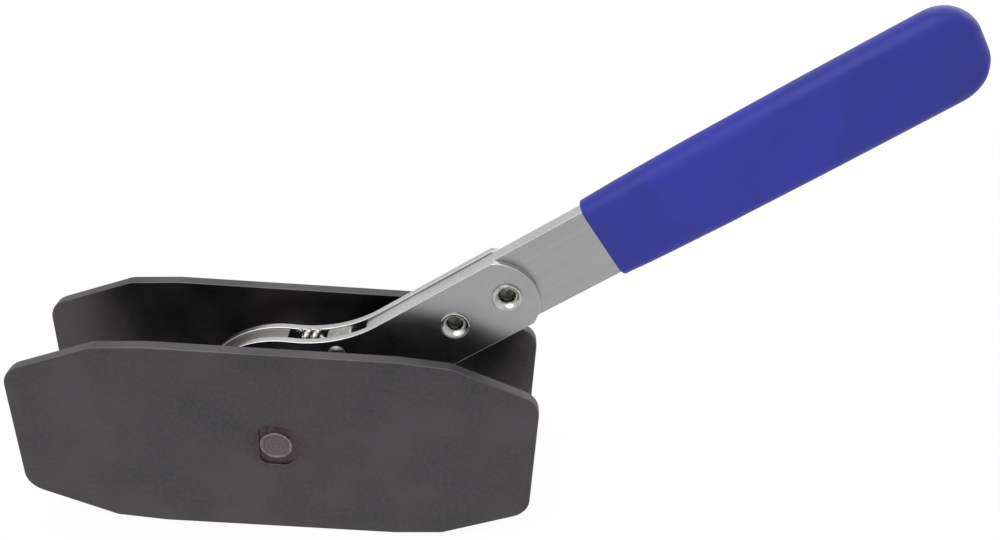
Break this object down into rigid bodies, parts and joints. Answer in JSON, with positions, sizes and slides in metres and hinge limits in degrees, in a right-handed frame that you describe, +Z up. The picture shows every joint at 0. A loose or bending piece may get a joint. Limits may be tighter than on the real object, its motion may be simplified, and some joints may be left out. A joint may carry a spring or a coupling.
{
  "type": "ratcheting brake piston press",
  "caption": "Ratcheting disc-brake piston press: steel jaw plates spread by a telescoping screw, a ratchet head and a flat bar handle with a dipped vinyl grip.",
  "frame": {"origin": "centre of the front press face, on the screw axis, where the faced end of the screw's tenon lies flush with the plate", "axes": "+X along the jaw plates towards the handle side, +Y along the screw axis from the front plate to the rear plate, +Z up; the tool stands on the plates' lower long edges"},
  "size_m": [0.2191, 0.0325, 0.1445],
  "materials": {
    "plate_steel": "blackened hot-rolled plate, satin, lighter at the sheared edges",
    "machined_steel": "turned steel, oiled",
    "plated_steel": "satin zinc-nickel plate",
    "bar_steel": "cold-drawn flat bar, fine lengthwise grain",
    "rivet_steel": "bright nickel plate",
    "spring_steel": "bright drawn wire with a faint straw tint",
    "ring_steel": "phosphated spring steel",
    "bronze": "turned bronze, oiled",
    "nylon": "natural nylon",
    "grip_vinyl": "dipped blue vinyl, satin"
  },
  "bodies": {
    "rear_jaw": {"rear_plate": "plate_steel", "rear_barrel": "machined_steel", "barrel_stop_ring": "ring_steel"},
    "carriage": {"drag_washer": "nylon"},
    "wheel": {"drive_wheel": "machined_steel", "screw_nut": "bronze", "hub_snap_ring": "ring_steel"},
    "head": {"front_side_plate": "plated_steel", "rear_side_plate": "plated_steel", "ring_spacer": "plated_steel", "spacer_rivets": "rivet_steel", "handle_bar": "bar_steel", "handle_rivets": "rivet_steel", "pawl_pin": "rivet_steel", "pawl_spring": "spring_steel", "grip": "grip_vinyl"},
    "pawl": {"pawl": "machined_steel"},
    "front_jaw": {"front_plate": "plate_steel", "front_screw": "machined_steel", "screw_stop_ring": "ring_steel"}
  },
  "joints": [
    {"name": "head_travel", "type": "slide", "parent": "rear_jaw", "child": "carriage", "axis": [0, -1, 0], "range_m": [0, 0.012]},
    {"name": "wheel_turn", "type": "hinge", "parent": "carriage", "child": "wheel", "pos_m": [0, 0.01625, 0], "axis": [0, 1, 0], "range_deg": [0, 2160]},
    {"name": "handle_swing", "type": "hinge", "parent": "wheel", "child": "head", "pos_m": [0, 0.01625, 0], "axis": [0, -1, 0], "continuous": true},
    {"name": "pawl_lift", "type": "hinge", "parent": "head", "child": "pawl", "pos_m": [0.01377, 0.01625, 0.02078], "axis": [0, -1, 0], "range_deg": [0, 13], "stiffness_Nm_per_rad": 0.05, "springref_deg": -17.19, "deforming": ["pawl_spring"]},
    {"name": "plate_travel", "type": "slide", "parent": "rear_jaw", "child": "front_jaw", "axis": [0, -1, 0], "range_m": [0, 0.024]}
  ],
  "couplings": [
    {"joint": "head_travel", "follows": "wheel_turn", "m_per_rad": 0.00031831},
    {"joint": "plate_travel", "follows": "wheel_turn", "m_per_rad": 0.00063662}
  ]
}
